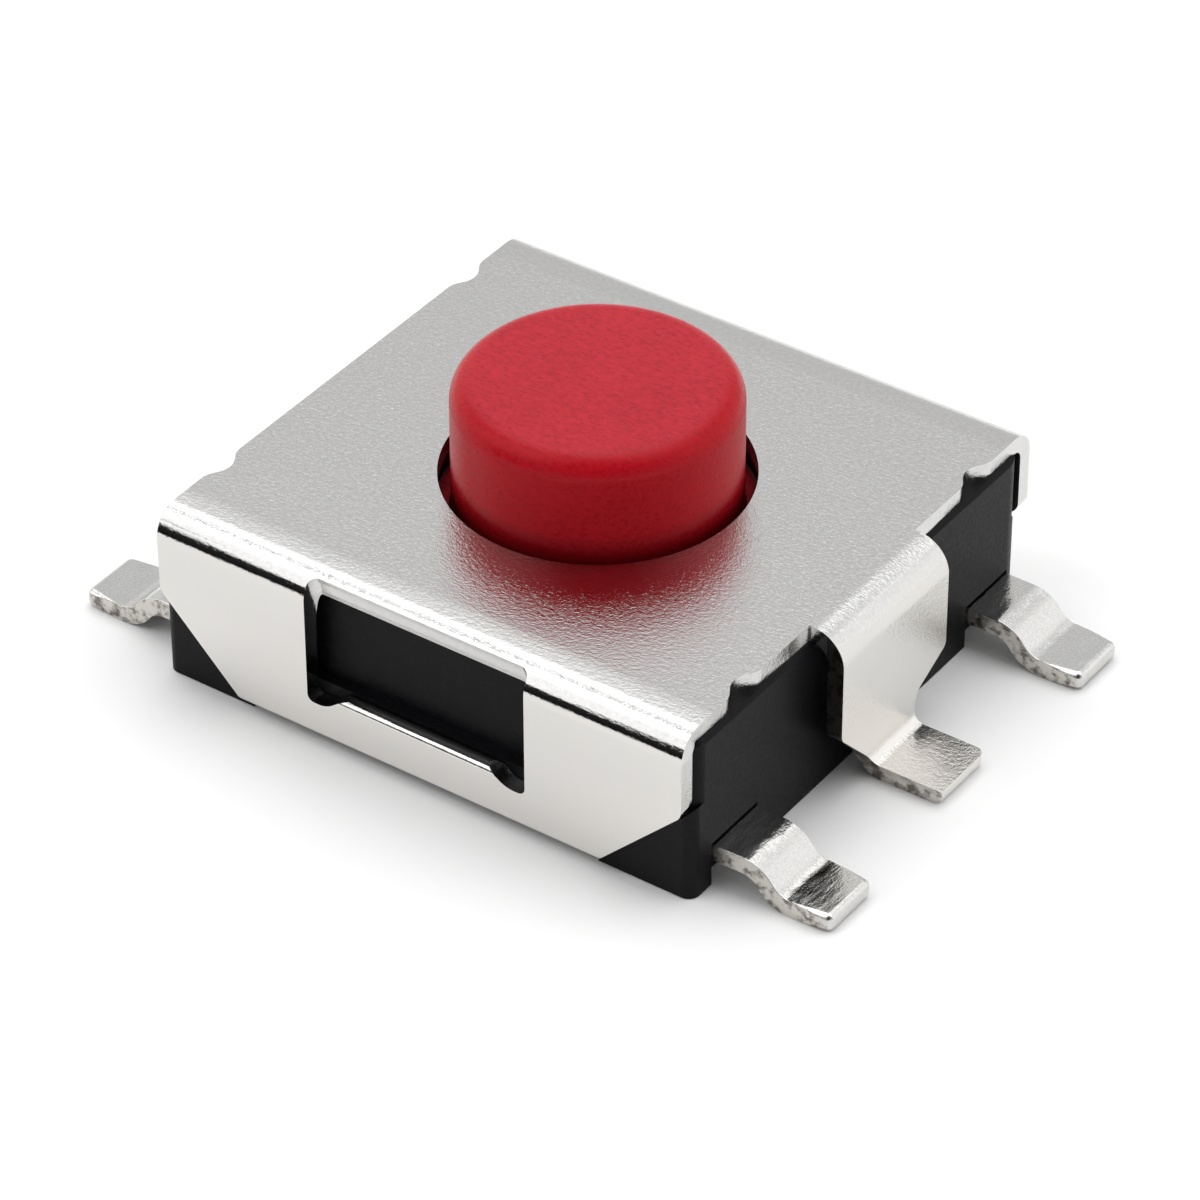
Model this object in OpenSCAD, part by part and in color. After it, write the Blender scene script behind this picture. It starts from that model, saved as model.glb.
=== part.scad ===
// Surface-mount tactile push button switch with a folded sheet cover.
// Millimetres. Z = 0 is the board, the origin is under the button's axis,
// X runs along the leads and -Y is the front.

/* [Cover] */
// Length of the cover along the leads
cover_x = 6.2; // [5.8:0.1:7.4]
// Width of the cover over both flanges
cover_y = 6.14; // [5.8:0.1:7.4]
// Height of the cover's top face above the board
cover_top = 2.0; // [1.9:0.05:2.6]
// Thickness of the cover's sheet
sheet_t = 0.18; // [0.15:0.01:0.25]
// Inside radius of the two long bends
bend_r = 0.12; // [0.05:0.01:0.2]
// Height of the flanges' lower edges above the board
flange_z = 0.12; // [0.05:0.01:0.3]
// Width and height of the bevel at each lower flange corner
flange_bevel = 0.96; // [0.4:0.02:1.1]
// Gap all round between the button and the hole in the cover
hole_gap = 0.13; // [0.06:0.01:0.15]

/* [Flange windows] */
// Width of the window in each flange
window_w = 2.6; // [1.8:0.1:3.2]
// Height of the strip's edge under the window above the board
window_sill = 0.66; // [0.5:0.02:0.9]
// Length of the dip at each lower window corner
window_dip = 0.42; // [0.3:0.02:0.6]
// Depth of those dips
window_dip_depth = 0.15; // [0.08:0.01:0.2]
// Length of the slope that leads from the strip's edge down into a dip
window_dip_slope = 0.2; // [0.05:0.01:0.28]
// Radius of the lower window corners
window_dip_r = 0.08; // [0.04:0.01:0.1]
// Radius of the upper window corners
window_corner_r = 0.15; // [0.08:0.01:0.25]
// Angle round the bend at which the window's head starts, on the outside
window_head = 35; // [20:1:50]
// Angle round the bend at which the window's head ends, on the inside
window_head_in = 78; // [55:1:88]

/* [Carrier notches] */
// Depth of the four notches left in the plate's ends
notch_depth = 0.11; // [0.05:0.01:0.2]
// Distance of each notch's middle from the button's axis
notch_y = 2.04; // [1.8:0.02:2.2]
// Length of a notch's bottom
notch_bottom = 0.14; // [0.06:0.02:0.2]
// Length of a notch's mouth
notch_mouth = 0.48; // [0.3:0.02:0.6]

/* [Ground tab] */
// Width of the ground tab
tab_w = 1.86; // [1.2:0.02:2.2]
// Gap between the housing's wall and the tab
tab_gap = 0.16; // [0.1:0.01:0.3]
// Inside radius of the tab's upper bend
tab_bend_r = 0.18; // [0.1:0.01:0.25]
// Inside radius of the bend between the tab and its foot
tab_foot_bend_r = 0.12; // [0.05:0.01:0.2]
// Height at which the tab starts to narrow
tab_narrow_z = 0.78; // [0.7:0.02:1.0]
// Width of the tab's foot
tab_foot_w = 0.78; // [0.5:0.02:1.0]
// Flat length of the tab's foot
tab_foot_len = 0.7; // [0.4:0.02:0.9]
// Radius of the corners at the foot's end
tab_foot_corner = 0.12; // [0.05:0.01:0.2]

/* [Housing] */
// Distance by which each end of the housing stands out from under the cover
housing_out = 0.06; // [0.04:0.01:0.1]
// Height of the housing's underside above the board
housing_z = 0.01; // [0.0:0.01:0.1]
// Radius of the housing's upright corners
housing_corner = 0.13; // [0.1:0.01:0.3]
// Bevel of the housing's upper edges at its two ends
housing_bevel = 0.08; // [0.05:0.01:0.12]
// Distance from the flanges' outer faces back to the housing's corner feet
corner_foot_back = 0.11; // [0.06:0.01:0.15]
// Gap between a flange's bevel and the corner foot under it
corner_foot_gap = 0.04; // [0.02:0.01:0.1]
// Gap between the housing and the flanges
flange_fit = 0.01; // [0.0:0.005:0.02]
// Depth of the recess behind each window
recess_depth = 0.12; // [0.05:0.01:0.2]
// Distance by which that recess is wider than the window, each side
recess_side = 0.12; // [0.05:0.01:0.3]
// Gap beside each lead in its slot
slot_gap = 0.025; // [0.02:0.005:0.08]
// Depth of the lead slots in the housing's walls
slot_depth = 0.14; // [0.08:0.01:0.2]

/* [Leads] */
// Thickness of the leads
lead_t = 0.2; // [0.15:0.01:0.25]
// Width of the leads
lead_w = 0.72; // [0.5:0.02:0.8]
// Distance between the lead centres
lead_pitch = 4.5; // [4.3:0.05:4.7]
// Height of the leads' flat shelf above the board, at its underside
shelf_z = 0.28; // [0.24:0.01:0.4]
// Flat length from the housing's wall to the first bend
shelf_len = 0.32; // [0.2:0.02:0.5]
// Drop of the ramp between shelf and foot, for each millimetre of its length
ramp_drop = 0.8; // [0.72:0.02:0.9]
// Inside radius of the lead bends
lead_bend_r = 0.22; // [0.05:0.01:0.24]
// Flat length of a lead's foot
foot_len = 0.48; // [0.35:0.01:0.8]
// Radius of the corners at a foot's end, seen from above
foot_corner = 0.08; // [0.03:0.01:0.15]

/* [Contacts] */
// Width of the side arms that carry the dome
arm_w = 0.5; // [0.4:0.02:0.6]
// Angle of the pads round the dome's rim, from the X axis
pad_angle = 32; // [28:1:34]
// Diameter of the coined pads under the dome's rim
pad_d = 0.4; // [0.3:0.02:0.46]
// Height of the coined pads
pad_rise = 0.05; // [0.03:0.01:0.08]
// Width of the tongue under the dome's middle
tongue_w = 0.7; // [0.5:0.02:0.9]
// Diameter of the middle contact
centre_d = 0.6; // [0.3:0.02:0.66]

/* [Snap dome] */
// Gap all round between the dome and the housing's pocket
dome_gap = 0.15; // [0.1:0.01:0.2]
// Height of the dome's hollow
dome_rise = 0.28; // [0.27:0.01:0.34]
// Thickness of the dome's sheet
dome_t = 0.06; // [0.04:0.01:0.08]

/* [Button] */
// Diameter of the button
button_d = 2.9; // [2.4:0.05:3.2]
// Height of the button above the cover
button_rise = 1.1; // [0.5:0.05:3.0]
// Radius of the button's upper edge
button_edge_r = 0.26; // [0.1:0.01:0.4]
// Diameter of the flange that holds the button in
button_flange_d = 4.06; // [4.0:0.02:4.2]
// Thickness of that flange
button_flange_t = 0.34; // [0.25:0.01:0.4]
// Diameter of the stem that presses the dome
stem_d = 1.3; // [0.8:0.05:1.6]
// Gap all round between the button's flange and the housing's pocket
pocket_gap = 0.07; // [0.04:0.01:0.1]
// Gap above the flange and under the stem
button_play = 0.01; // [0.005:0.005:0.02]
// Travel of the button
travel = 0.25; // [0.15:0.01:0.26]

/* [Hidden] */
$fn = 96;

// Distance by which a cutter runs past the face that it opens
past = 0.5;

cover_half_x = cover_x / 2;
cover_half_y = cover_y / 2;
sheet_under = cover_top - sheet_t;
bend_outer = bend_r + sheet_t;
flange_inner_y = cover_half_y - sheet_t;
bend_y = cover_half_y - bend_outer;
bend_z = cover_top - bend_outer;
bevel_x = cover_half_x - flange_bevel;

// Ends of the window's slanted head on the outer and the inner side of the bend
head_out_y = bend_y + bend_outer * sin(window_head);
head_out_z = bend_z + bend_outer * cos(window_head);
head_in_y = bend_y + bend_r * sin(window_head_in);
head_in_z = bend_z + bend_r * cos(window_head_in);

housing_half_x = cover_half_x + housing_out;
tab_face_x = housing_half_x + tab_gap + sheet_t;
tab_bend_x = tab_face_x - sheet_t - tab_bend_r;
tab_bend_z = cover_top - sheet_t - tab_bend_r;
tab_foot_bend_x = tab_face_x + tab_foot_bend_r;
tab_foot_bend_z = sheet_t + tab_foot_bend_r;
tab_end_x = tab_foot_bend_x + tab_foot_len;

housing_half_y = flange_inner_y - flange_fit;
corner_foot_y = cover_half_y - corner_foot_back;
pocket_d = button_flange_d + 2 * pocket_gap;
hole_d = button_d + 2 * hole_gap;

shelf_top = shelf_z + lead_t;
lead_y = lead_pitch / 2;
ramp_angle = asin(ramp_drop);
lead_bend_mid = 2 * lead_bend_r + lead_t;
ramp_len = (shelf_z - lead_bend_mid * (1 - cos(ramp_angle))) / ramp_drop;
first_bend_x = housing_half_x + shelf_len;
second_bend_x = first_bend_x + lead_bend_mid * ramp_drop + ramp_len * cos(ramp_angle);
foot_end_x = second_bend_x + foot_len;

pad_top = shelf_top + pad_rise;
dome_r = pocket_d / 2 - dome_gap;
dome_inner_r = (dome_r * dome_r + dome_rise * dome_rise) / (2 * dome_rise);
dome_top = pad_top + dome_rise + dome_t;
rim_r = dome_r - dome_t;
arm_x = rim_r * cos(pad_angle);
pad_y = rim_r * sin(pad_angle);
centre_top = pad_top + dome_rise - travel;

button_top = cover_top + button_rise;
flange_top = sheet_under - button_play;
flange_bottom = flange_top - button_flange_t;
stem_bottom = dome_top + button_play;

// Sector of a round strip between two angles, as a flat shape
module strip_bend(inner_r, thick, from, to) {
    reach = 2 * (inner_r + thick);
    middle = (from + to) / 2;
    intersection() {
        difference() {
            circle(r = inner_r + thick);
            circle(r = inner_r);
        }
        polygon([
            [0, 0],
            reach * [cos(from), sin(from)],
            1.5 * reach * [cos(middle), sin(middle)],
            reach * [cos(to), sin(to)]
        ]);
    }
}

// Runs a flat YZ shape along X
module along_x(from, to) {
    translate([from, 0, 0]) rotate([90, 0, 90]) linear_extrude(to - from) children();
}

// Runs a flat XZ shape along Y
module along_y(from, to) {
    translate([0, to, 0]) rotate([90, 0, 0]) linear_extrude(to - from) children();
}

// Arch with two rounded shoulders, the section of a folded channel
module arch(half_w, top, bottom, r) {
    translate([-half_w, bottom]) square([2 * half_w, top - r - bottom]);
    translate([-half_w + r, bottom]) square([2 * (half_w - r), top - bottom]);
    for (side = [-1, 1]) translate([side * (half_w - r), top - r]) circle(r = r);
}

// Rectangle round the origin with four round corners
module round_plan(half_x, half_y, r) {
    translate([-half_x, r - half_y]) square([2 * half_x, 2 * (half_y - r)]);
    translate([r - half_x, -half_y]) square([2 * (half_x - r), 2 * half_y]);
    for (x = [-1, 1], y = [-1, 1]) translate([x * (half_x - r), y * (half_y - r)]) circle(r = r);
}

// Front view of the folded sheet: two lower corners are bevelled
module flange_outline() {
    bevel_z = flange_z + flange_bevel;
    polygon([
        [-cover_half_x, cover_top + past], [-cover_half_x, bevel_z], [-bevel_x, flange_z],
        [bevel_x, flange_z], [cover_half_x, bevel_z], [cover_half_x, cover_top + past]
    ]);
}

// Plan of one notch, cut in from x = 0 towards -X
module notch_outline() {
    polygon([
        [past, -notch_mouth / 2], [0, -notch_mouth / 2], [-notch_depth, -notch_bottom / 2],
        [-notch_depth, notch_bottom / 2], [0, notch_mouth / 2], [past, notch_mouth / 2]
    ]);
}

// Front view of the dip at a window's lower right corner, with its own corner at the origin
module window_dip_outline() {
    r = window_dip_r;
    polygon([
        [-window_dip, 0], [window_dip_slope - window_dip, -window_dip_depth],
        [-r, -window_dip_depth], [-r, 0]
    ]);
    translate([-r, r - window_dip_depth]) square([r, window_dip_depth - r]);
    translate([-r, r - window_dip_depth]) circle(r = r);
}

// Front view of a window, with a dip at each lower corner
module window_outline() {
    r = window_corner_r;
    half_w = window_w / 2;
    translate([-half_w, window_sill]) square([window_w, head_out_z - r - window_sill]);
    translate([-half_w + r, window_sill]) square([window_w - 2 * r, head_out_z - window_sill]);
    for (side = [-1, 1]) {
        translate([side * (half_w - r), head_out_z - r]) circle(r = r);
        translate([side * half_w, window_sill]) scale([side, 1]) window_dip_outline();
    }
}

// Side view of a window's cut: its head slants across the bend
module window_section() {
    polygon([
        [cover_half_y + past, 0], [cover_half_y + past, head_out_z], [head_out_y, head_out_z],
        [head_in_y, head_in_z], [bend_y - past, head_in_z], [bend_y - past, 0]
    ]);
}

module window_cut() {
    intersection() {
        along_y(0, cover_half_y + past) window_outline();
        along_x(-cover_half_x, cover_half_x) window_section();
    }
}

// Section of the ground tab from the plate down to its foot
module tab_section() {
    translate([tab_bend_x - past, sheet_under]) square([past, sheet_t]);
    translate([tab_bend_x, tab_bend_z]) strip_bend(tab_bend_r, sheet_t, 0, 90);
    translate([tab_face_x - sheet_t, tab_foot_bend_z]) square([sheet_t, tab_bend_z - tab_foot_bend_z]);
    translate([tab_foot_bend_x, tab_foot_bend_z]) strip_bend(tab_foot_bend_r, sheet_t, 180, 270);
    translate([tab_foot_bend_x, 0]) square([tab_foot_len, sheet_t]);
}

// Side view of the tab: it narrows down to the top of its foot
module tab_outline() {
    polygon([
        [-tab_w / 2, cover_top + past], [-tab_w / 2, tab_narrow_z],
        [-tab_foot_w / 2, sheet_t], [-tab_foot_w / 2, -past],
        [tab_foot_w / 2, -past], [tab_foot_w / 2, sheet_t],
        [tab_w / 2, tab_narrow_z], [tab_w / 2, cover_top + past]
    ]);
}

// Plan of the tab: the corners at the foot's end are round
module tab_plan() {
    r = tab_foot_corner;
    translate([0, -tab_w / 2]) square([tab_foot_bend_x, tab_w]);
    translate([0, -tab_foot_w / 2]) square([tab_end_x - r, tab_foot_w]);
    translate([0, r - tab_foot_w / 2]) square([tab_end_x, tab_foot_w - 2 * r]);
    for (side = [-1, 1]) translate([tab_end_x - r, side * (tab_foot_w / 2 - r)]) circle(r = r);
}

module ground_tab() {
    intersection() {
        along_y(-tab_w / 2, tab_w / 2) tab_section();
        along_x(0, tab_end_x + past) tab_outline();
        translate([0, 0, -past]) linear_extrude(cover_top + 2 * past) tab_plan();
    }
}

module folded_sheet() {
    intersection() {
        along_x(-cover_half_x, cover_half_x) difference() {
            arch(cover_half_y, cover_top, flange_z - past, bend_outer);
            arch(flange_inner_y, sheet_under, flange_z - 2 * past, bend_r);
        }
        along_y(-cover_half_y - past, cover_half_y + past) flange_outline();
    }
}

module cover() {
    color("gainsboro") difference() {
        union() {
            folded_sheet();
            ground_tab();
        }
        cylinder(d = hole_d, h = cover_top + past);
        for (turn = [0, 180]) rotate([0, 0, turn]) {
            window_cut();
            for (side = [-1, 1]) translate([cover_half_x, side * notch_y, cover_top / 2])
                linear_extrude(cover_top) notch_outline();
        }
    }
}

// Section of a lead from the housing's middle out to its foot
module lead_section() {
    translate([0, shelf_z]) square([first_bend_x, lead_t]);
    translate([first_bend_x, shelf_z - lead_bend_r])
        strip_bend(lead_bend_r, lead_t, 90 - ramp_angle, 90);
    ramp_x = first_bend_x + (lead_bend_r + lead_t) * ramp_drop;
    ramp_z = shelf_z - lead_bend_r + (lead_bend_r + lead_t) * cos(ramp_angle);
    translate([ramp_x, ramp_z]) rotate(-ramp_angle)
        translate([0, -lead_t]) square([ramp_len, lead_t]);
    translate([second_bend_x, lead_t + lead_bend_r])
        strip_bend(lead_bend_r, lead_t, 270 - ramp_angle, 270);
    translate([second_bend_x, 0]) square([foot_len, lead_t]);
}

// One strip across the housing with a lead at each end, along X at y = 0
module lead_pair() {
    intersection() {
        for (turn = [0, 180]) rotate([0, 0, turn])
            along_y(-lead_w / 2, lead_w / 2) lead_section();
        translate([0, 0, -past]) linear_extrude(shelf_top + 2 * past)
            round_plan(foot_end_x, lead_w / 2, foot_corner);
    }
}

module rim_stamping() {
    translate([0, -lead_y, 0]) lead_pair();
    for (side = [-1, 1]) {
        translate([side * arm_x - arm_w / 2, -lead_y, shelf_z])
            cube([arm_w, lead_y + pad_y + arm_w / 2, lead_t]);
        for (end = [-1, 1]) translate([side * arm_x, end * pad_y, shelf_z])
            cylinder(d = pad_d, h = lead_t + pad_rise);
    }
}

module centre_stamping() {
    translate([0, lead_y, 0]) lead_pair();
    translate([-tongue_w / 2, -tongue_w / 2, shelf_z]) cube([tongue_w, lead_y + tongue_w / 2, lead_t]);
    translate([0, 0, shelf_z]) cylinder(d = centre_d, h = centre_top - shelf_z);
}

module rim_terminal() {
    color("silver") rim_stamping();
}

module centre_terminal() {
    color("silver") centre_stamping();
}

// Slot in a housing wall round one lead, open at the bottom
module lead_slot() {
    slot_w = lead_w + 2 * slot_gap;
    translate([housing_half_x - slot_depth, -slot_w / 2, -past])
        cube([slot_depth + past, slot_w, past + shelf_top + slot_gap]);
}

// Recess behind a window, open at the top
module window_recess() {
    recess_w = window_w + 2 * recess_side;
    translate([-recess_w / 2, housing_half_y - recess_depth, window_sill])
        cube([recess_w, recess_depth + past, cover_top]);
}

// Block of the housing: its long top edges are round to lie in the sheet's bends
module housing_block() {
    intersection() {
        linear_extrude(sheet_under) round_plan(housing_half_x, housing_half_y, housing_corner);
        along_x(-housing_half_x, housing_half_x) arch(housing_half_y, sheet_under, housing_z, bend_r);
        along_y(-housing_half_y, housing_half_y) polygon([
            [-housing_half_x, 0], [-housing_half_x, sheet_under - housing_bevel],
            [housing_bevel - housing_half_x, sheet_under], [housing_half_x - housing_bevel, sheet_under],
            [housing_half_x, sheet_under - housing_bevel], [housing_half_x, 0]
        ]);
    }
}

// The two corner feet at one end, which fill the flanges' bevels from the inside
module corner_feet() {
    foot_rise = housing_half_x - bevel_x + flange_z - corner_foot_gap;
    foot_x = bevel_x - flange_z + corner_foot_gap + housing_z;
    intersection() {
        linear_extrude(cover_top) round_plan(housing_half_x, corner_foot_y, housing_corner);
        along_y(-corner_foot_y, corner_foot_y)
            polygon([[foot_x, housing_z], [housing_half_x, housing_z], [housing_half_x, foot_rise]]);
    }
}

module housing() {
    color([0.13, 0.13, 0.14]) difference() {
        union() {
            housing_block();
            for (turn = [0, 180]) rotate([0, 0, turn]) corner_feet();
        }
        translate([0, 0, shelf_top]) cylinder(d = pocket_d, h = cover_top);
        for (turn = [0, 180]) rotate([0, 0, turn]) {
            window_recess();
            for (side = [-1, 1]) translate([0, side * lead_y, 0]) lead_slot();
        }
        rim_stamping();
        centre_stamping();
    }
}

// Thin spherical snap dome that rests on the four pads
module contact_dome() {
    color("lightgray") translate([0, 0, pad_top + dome_rise - dome_inner_r])
    rotate_extrude() intersection() {
        difference() {
            circle(r = dome_inner_r + dome_t, $fn = 720);
            circle(r = dome_inner_r, $fn = 720);
        }
        square([dome_r, 2 * dome_inner_r]);
    }
}

// Rounded cap, holding flange and stem
module button() {
    r = button_edge_r;
    color("crimson") rotate_extrude() {
        translate([0, flange_bottom]) square([button_d / 2, button_top - r - flange_bottom]);
        translate([0, button_top - r]) square([button_d / 2 - r, r]);
        intersection() {
            translate([button_d / 2 - r, button_top - r]) circle(r = r);
            translate([0, button_top - r]) square([button_d, r]);
        }
        translate([0, flange_bottom]) square([button_flange_d / 2, button_flange_t]);
        translate([0, stem_bottom]) square([stem_d / 2, flange_bottom - stem_bottom]);
    }
}

housing();
cover();
button();
contact_dome();
rim_terminal();
centre_terminal();
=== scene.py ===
"""Visual model of a surface-mount tactile push button switch, laid out as a Blender add-on."""
import math
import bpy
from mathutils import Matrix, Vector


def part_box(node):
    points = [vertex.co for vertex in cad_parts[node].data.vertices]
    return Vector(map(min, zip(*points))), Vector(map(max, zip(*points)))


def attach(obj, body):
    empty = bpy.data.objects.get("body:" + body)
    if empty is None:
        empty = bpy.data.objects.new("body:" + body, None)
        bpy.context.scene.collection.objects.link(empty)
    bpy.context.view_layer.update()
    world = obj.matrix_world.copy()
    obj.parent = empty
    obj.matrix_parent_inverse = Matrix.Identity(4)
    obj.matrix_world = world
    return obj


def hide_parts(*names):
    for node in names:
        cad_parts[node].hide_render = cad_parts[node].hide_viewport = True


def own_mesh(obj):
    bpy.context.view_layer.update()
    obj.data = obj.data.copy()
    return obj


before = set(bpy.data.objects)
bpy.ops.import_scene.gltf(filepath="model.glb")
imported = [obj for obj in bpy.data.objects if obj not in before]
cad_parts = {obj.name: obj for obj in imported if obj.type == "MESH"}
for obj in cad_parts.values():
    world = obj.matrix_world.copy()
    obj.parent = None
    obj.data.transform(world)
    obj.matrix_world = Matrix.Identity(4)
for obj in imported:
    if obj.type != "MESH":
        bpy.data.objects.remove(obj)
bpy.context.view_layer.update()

from types import SimpleNamespace

import bmesh
import bpy
from mathutils import Matrix, Vector

bl_info = {
    "name": "Tactile Push Button Switch",
    "version": (1, 0, 0),
    "blender": (4, 5, 0),
    "location": "View3D > Sidebar > Switch",
    "description": "Builds the folded cover, housing, button, snap dome and terminals of a small switch",
    "category": "Add Mesh",
}

MM = 1000.0
FRAME_PIXELS = 1200.0
SENSOR_WIDTH = 36.0
# Closest that two places in a mesh are told apart, and how far a cutter reaches past what it cuts, in mm
TINY = 1e-3
REACH = 1.0

# Where the cover's finish changes, in mm: a pair is the place where the change starts and where it is full.
# The flanges and the tab's face take painted light, a lighter steel standing for the bright floor they
# reflect, lighter still low down
FLANK_Y = (3.02, 3.06)
TAB_FACE_X = (3.4, 3.48)
LOW_FLANK_LIGHT_Z = (1.3, 0.5)
CALM_Y = (2.85, 3.0)
SAG_Y = (2.52, 3.07)
CREASE_Z = (1.89, 1.70)
CREASE_Y = 2.9
# Depths in metres: the cover's grain, the plate's fall to its bends, the crease under a bend, lead dimples
GRAIN_DEPTH = 6.5e-6
SAG_DEPTH = 3.3e-5
CREASE_DEPTH = 2.6e-5
DIMPLE_DEPTH = 5.5e-6
# Cut sides are dull beyond this distance from the axis and carry painted shade above this height, with a soft
# start below
TAB_SIDE = (3.3, 0.7)
LEAD_SIDE = (0.0, 1.5)
SIDE_FADE = 0.4
# Colours in a cut side: its tarnish, its scuffed metal and the painted shade of its upper part
TARNISH = (0.18, 0.16, 0.14, 1.0)
SCUFFED = (0.66, 0.63, 0.59, 1.0)
SHADED = (0.02, 0.018, 0.015, 1.0)
# Heights between which painted shade darkens the button towards its foot, where the plate shades it, in mm
BUTTON_SHADE_Z = (1.75, 2.25)

# Brightness of the studio's dome against the sine of the elevation
SKY = [(0.0, 0.58), (0.2, 0.62), (0.5, 0.6), (0.66, 0.61), (0.73, 0.8), (0.8, 1.5), (0.87, 2.0), (1.0, 2.2)]
# Direction of each soft panel, the cosines at which it is full and at which it ends, and its brightness
SOFT_PANELS = (
    ((-0.46, -0.62, 0.63), 0.93, 0.82, 0.6),
    ((0.70, 0.64, 0.30), 0.93, 0.75, 0.4),
    ((-0.93, 0.0, 0.37), 0.92, 0.75, 0.35),
)
# The same for the dark side where the camera stands, with its darkness
CAMERA_SIDE = ((0.46, -0.652, 0.603), 0.9, 0.68, 0.92)
# Narrow dark wall that the front bend mirrors: middle, half width, depth and height, with soft edges
WALL_X = -0.46
WALL_HALF = (0.34, 0.24)
WALL_Y = (-0.55, -0.7)
WALL_Z = (0.41, 0.37)
# Dim gap between the panels: its slope of Y against Z, its half width and its darkness
PANEL_GAP = (-0.16, 0.09, 0.85)
# Share of the light that is left where a shadow is full
LEAST_LIGHT = 0.015

COVER_LOW, COVER_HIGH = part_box("cover")
HOUSING_LOW, HOUSING_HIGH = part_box("housing")
BUTTON_LOW, BUTTON_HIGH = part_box("button")
DOME_LOW, DOME_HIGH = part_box("contact_dome")
RIM_LOW, RIM_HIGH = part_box("rim_terminal")
CENTRE_LOW, CENTRE_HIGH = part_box("centre_terminal")


def length(name, description, millimetres):
    """A length property; its default is given in millimetres."""
    return bpy.props.FloatProperty(
        name=name, description=description, default=millimetres / MM,
        min=0.0, max=0.1, precision=5, unit="LENGTH", subtype="DISTANCE",
    )


def angle(name, description, degrees):
    """An angle property; its default is given in degrees."""
    return bpy.props.FloatProperty(
        name=name, description=description, default=math.radians(degrees), unit="ROTATION", subtype="ANGLE",
    )


def colour(name, description, default):
    """A colour property."""
    return bpy.props.FloatVectorProperty(
        name=name, description=description, default=default, size=3, min=0.0, max=1.0, subtype="COLOR",
    )


def share(name, description, default):
    """A property between 0 and 1."""
    return bpy.props.FloatProperty(
        name=name, description=description, default=default, min=0.0, max=1.0, subtype="FACTOR",
    )


class CoverSizes(bpy.types.PropertyGroup):
    """Sizes of the folded cover that its box in the frame doesn't give"""

    sheet: length("Sheet thickness", "Thickness of the cover's sheet", 0.18)
    bend: length("Bend radius", "Inside radius of the two long bends", 0.12)
    flange_bottom: length("Flange height", "Height of the flanges' lower edges above the board", 0.12)
    bevel: length("Flange bevel", "Width and height of the bevel at each lower flange corner", 0.96)
    bevel_round: length("Bevel rounding", "Length of the rounding at each end of a bevel", 0.06)
    hole: length("Hole diameter", "Diameter of the hole round the button", 3.16)
    window: length("Window width", "Width of the window in each flange", 2.6)
    sill: length("Window sill", "Height of the strip's edge under the window", 0.66)
    dip: length("Window dip", "Length of the dip at each lower window corner", 0.42)
    dip_depth: length("Dip depth", "Depth of those dips", 0.15)
    dip_slope: length("Dip slope", "Length of the slope that leads down into a dip", 0.2)
    dip_round: length("Dip rounding", "Rounding of the dips' corners", 0.08)
    corner: length("Window corner", "Radius of the upper window corners", 0.11)
    head: angle("Window head outside", "Angle round the bend at which the window's head starts outside", 35)
    head_in: angle("Window head inside", "Angle round the bend at which the window's head ends inside", 78)
    notch_depth: length("Notch depth", "Depth of the carrier notches in the plate's ends", 0.11)
    notch_y: length("Notch distance", "Distance of each notch from the button's axis", 2.04)
    notch_bottom: length("Notch bottom", "Length of a notch's bottom", 0.14)
    notch_mouth: length("Notch mouth", "Length of a notch's mouth", 0.48)
    notch_round: length("Notch rounding", "Length of the rounding at a notch's corners", 0.06)
    edge: length("Edge rounding", "Rounding of the sheet's cut edges", 0.011)


class TabSizes(bpy.types.PropertyGroup):
    """Sizes of the ground tab and its foot"""

    width: length("Tab width", "Width of the ground tab", 1.86)
    face: length("Tab face", "Distance of the tab's outer face from the button's axis", 3.5)
    bend: length("Tab bend", "Inside radius of the tab's upper bend", 0.18)
    foot_bend: length("Foot bend", "Inside radius of the bend between the tab and its foot", 0.12)
    narrow: length("Narrowing height", "Height at which the tab starts to narrow", 0.78)
    narrow_front: length("Narrowing end in front", "Height where the tab's front side meets its foot's", 0.22)
    narrow_back: length("Narrowing end behind", "Height where the tab's back side meets its foot's", 0.5)
    narrow_round: length("Narrowing rounding", "Length of the rounding where the tab starts to narrow", 0.05)
    foot_width: length("Foot width", "Width of the tab's foot", 0.78)
    corner: length("Foot corner", "Radius of the corners at the foot's end", 0.1)


class HousingSizes(bpy.types.PropertyGroup):
    """Sizes of the moulded housing"""

    fit: length("Flange fit", "Gap between the housing and the flanges", 0.01)
    corner: length("Front corner", "Radius of the housing's upright corners in front", 0.13)
    back_corner: length("Back corner", "Radius of the housing's upright corners at the back", 0.28)
    bevel: length("End bevel", "Bevel of the upper edges at the housing's two ends", 0.03)
    foot_gap: length("Corner foot gap", "Gap between a flange's bevel and the corner foot under it", 0.04)
    pocket: length("Pocket diameter", "Diameter of the pocket for the button's flange and the dome", 4.2)
    recess_depth: length("Recess depth", "Depth of the recess behind each window", 0.12)
    recess_side: length("Recess side", "Distance by which the recess is wider than the window", 0.12)
    slot_gap: length("Slot gap", "Gap beside each lead in its slot", 0.025)
    slot_depth: length("Slot depth", "Depth of the lead slots in the housing's walls", 0.14)
    edge: length("Edge rounding", "Rounding of the moulding's edges", 0.025)


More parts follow.
